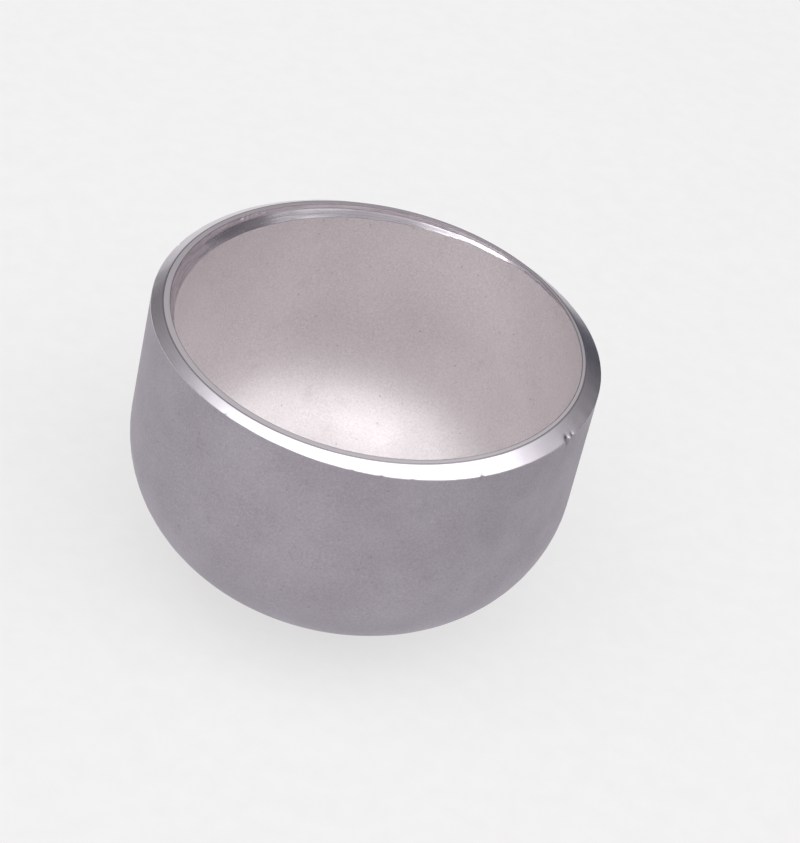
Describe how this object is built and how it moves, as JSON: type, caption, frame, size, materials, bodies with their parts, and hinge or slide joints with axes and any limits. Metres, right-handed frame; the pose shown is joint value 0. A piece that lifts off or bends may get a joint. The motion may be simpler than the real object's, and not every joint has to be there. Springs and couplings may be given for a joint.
{
  "type": "butt-weld pipe cap",
  "caption": "Stainless butt-weld pipe cap: a bead-blasted, pressed dished head with a straight skirt and a bevelled weld end that closes the end of a pipe.",
  "frame": {"origin": "centre of the mouth, in the plane of the weld end", "axes": "+Z along the cap's axis, out of the mouth towards the pipe; the dome hangs below; X and Y lie in the plane of the weld end"},
  "size_m": [0.0604, 0.0602, 0.04],
  "materials": {
    "stainless_steel": "bead-blasted skin with a turned weld end"
  },
  "bodies": {
    "root": {"cap_shell": "stainless_steel"}
  },
  "joints": []
}
